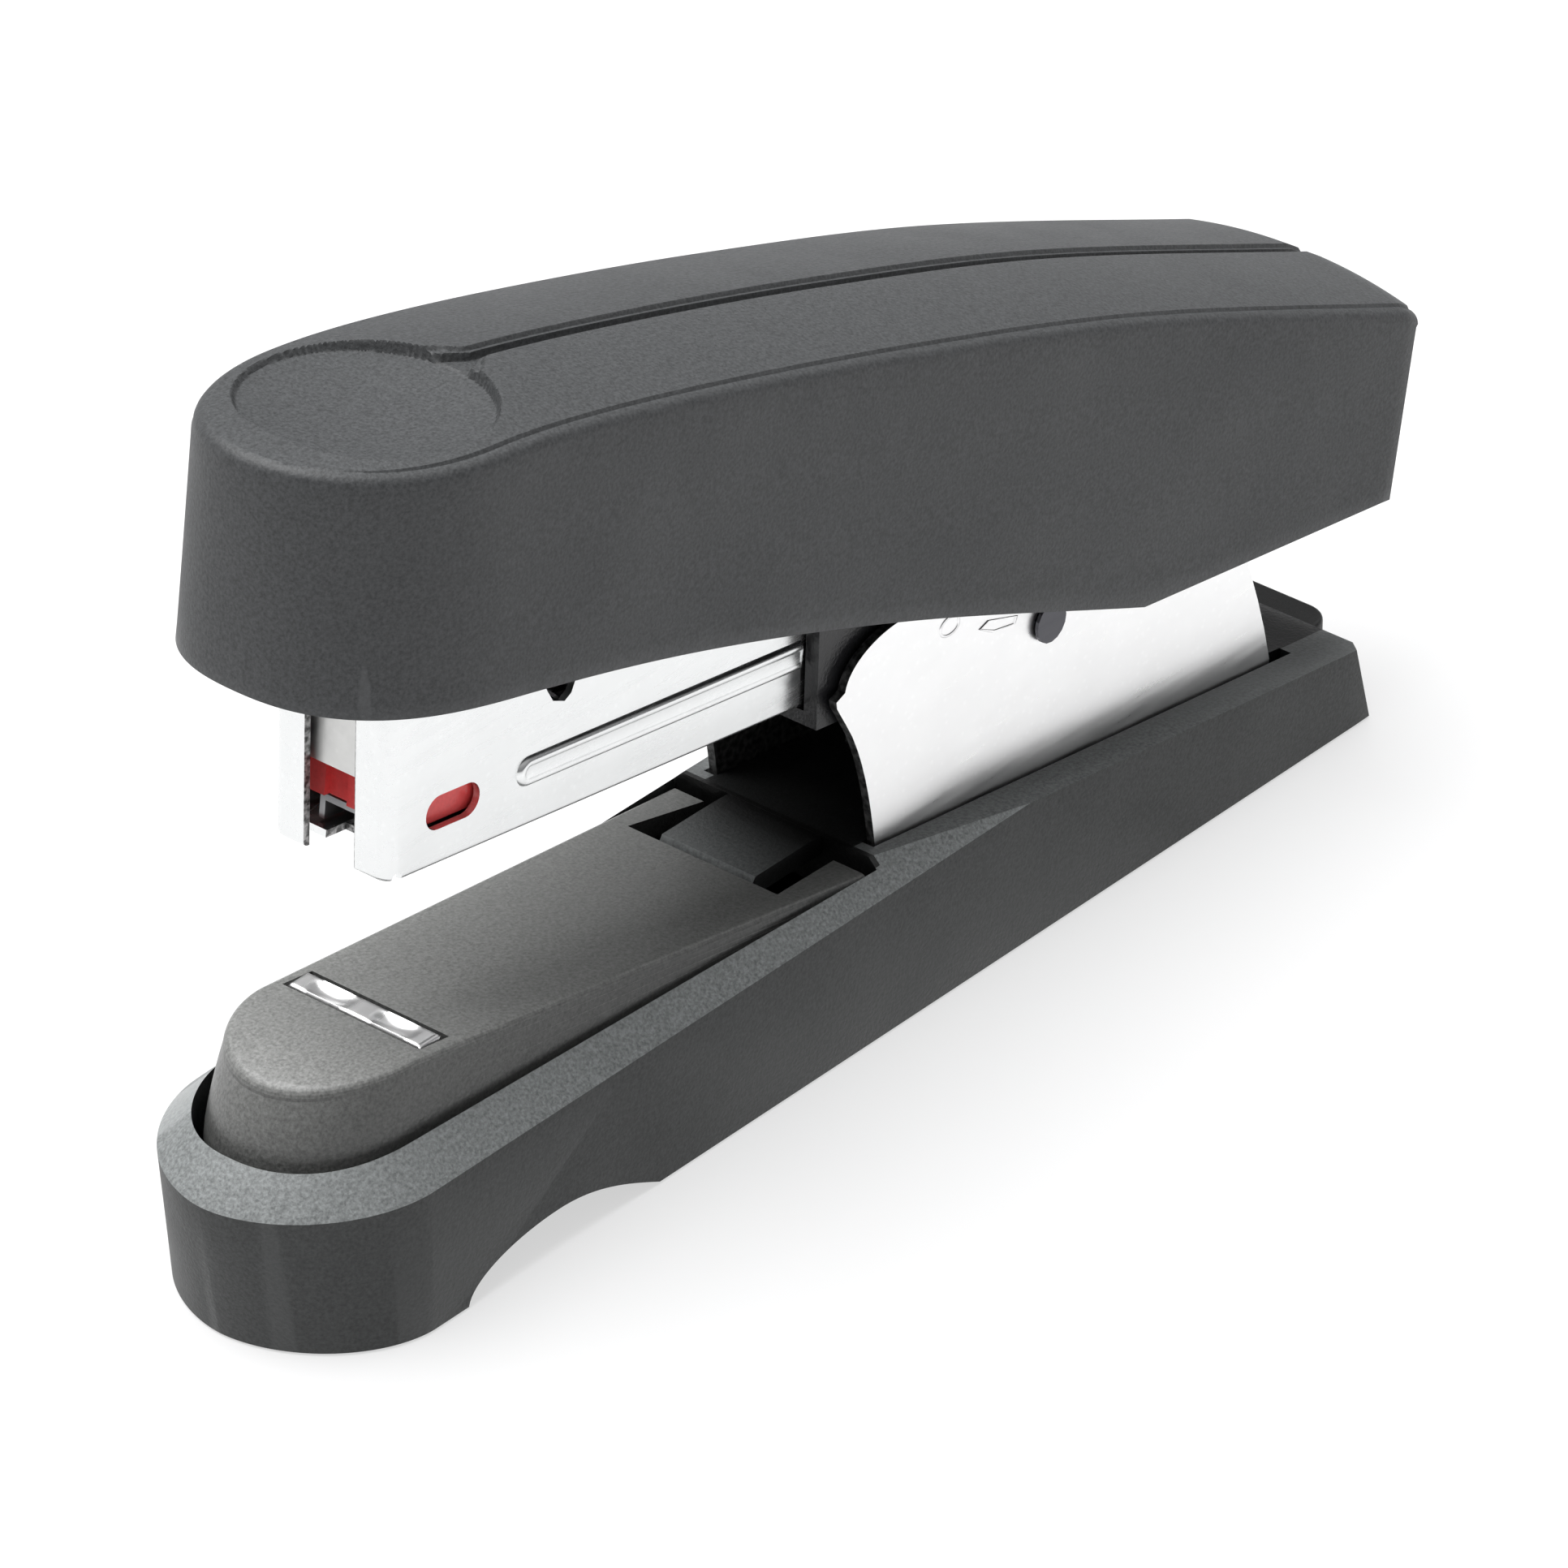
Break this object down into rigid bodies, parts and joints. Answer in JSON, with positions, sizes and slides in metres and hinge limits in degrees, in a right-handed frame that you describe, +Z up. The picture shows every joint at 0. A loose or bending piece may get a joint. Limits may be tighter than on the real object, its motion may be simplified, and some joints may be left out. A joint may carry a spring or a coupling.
{
  "type": "desk stapler",
  "caption": "Desk stapler with a sprung clinch cover in its base, a hinged steel magazine with side windows, a staple pusher and a moulded handle cover with a round thumb dish.",
  "frame": {"origin": "middle of the footprint, at the underside of the rubber pads", "axes": "+X runs along the stapler from the nose to the rear, +Y across it, +Z up"},
  "size_m": [0.173, 0.0338, 0.0968],
  "materials": {
    "charcoal_plastic": "matte charcoal plastic with a fine moulded grain",
    "deck_plastic": "satin charcoal plastic with slightly polished edges",
    "black_plastic": "black plastic",
    "bright_steel": "bright plated sheet steel",
    "chrome": "polished plating",
    "spring_steel": "plain steel",
    "dark_steel": "dark steel fasteners",
    "red_plastic": "red plastic",
    "rubber": "soft black rubber"
  },
  "bodies": {
    "base": {"base_shell": "charcoal_plastic", "base_pad": "rubber", "nose_foot": "rubber", "base_frame": "bright_steel", "frame_screw_front": "spring_steel", "frame_screw_rear": "spring_steel", "frame_rivet_near": "dark_steel", "frame_rivet_far": "dark_steel", "anvil": "chrome", "anvil_carrier": "spring_steel", "lift_spring": "spring_steel", "clinch_pin": "spring_steel", "clinch_spring": "spring_steel", "hinge_axle": "spring_steel", "axle_clip_near": "spring_steel", "axle_clip_far": "spring_steel"},
    "clinch": {"clinch_cover": "deck_plastic"},
    "magazine": {"magazine_channel": "bright_steel", "staple_rail": "spring_steel", "magazine_rivet_front": "dark_steel", "magazine_rivet_rear": "dark_steel", "magazine_sleeve": "black_plastic", "axle_bush": "spring_steel", "pusher_spring": "spring_steel"},
    "pusher": {"staple_pusher": "red_plastic"},
    "handle": {"handle_cover": "charcoal_plastic", "handle_chassis": "spring_steel", "cover_screw_front": "spring_steel", "cover_screw_rear": "spring_steel", "driver_blade": "bright_steel", "blade_rivet_near": "dark_steel", "blade_rivet_far": "dark_steel", "handle_spring": "spring_steel"}
  },
  "joints": [
    {"name": "magazine_hinge", "type": "hinge", "parent": "base", "child": "magazine", "pos_m": [0.0539, 0, 0.05], "axis": [0, 1, 0], "range_deg": [-9.2, 0], "stiffness_Nm_per_rad": 0.9, "springref_deg": 20.05, "deforming": ["lift_spring"]},
    {"name": "handle_hinge", "type": "hinge", "parent": "magazine", "child": "handle", "pos_m": [0.0539, 0, 0.05], "axis": [0, 1, 0], "range_deg": [-4.5, 45], "stiffness_Nm_per_rad": 0.8, "springref_deg": 3.44, "deforming": ["handle_spring"]},
    {"name": "clinch_cover_hinge", "type": "hinge", "parent": "base", "child": "clinch", "pos_m": [-0.0091, 0, 0.015], "axis": [0, 1, 0], "range_deg": [-2, 0], "stiffness_Nm_per_rad": 0.12, "springref_deg": 20.05, "deforming": ["clinch_spring"]},
    {"name": "pusher_slide", "type": "slide", "parent": "magazine", "child": "pusher", "axis": [0.9899, 0, -0.1418], "range_m": [0, 0.074], "stiffness_N_per_m": 55, "springref_m": -0.03, "deforming": ["pusher_spring"]}
  ]
}
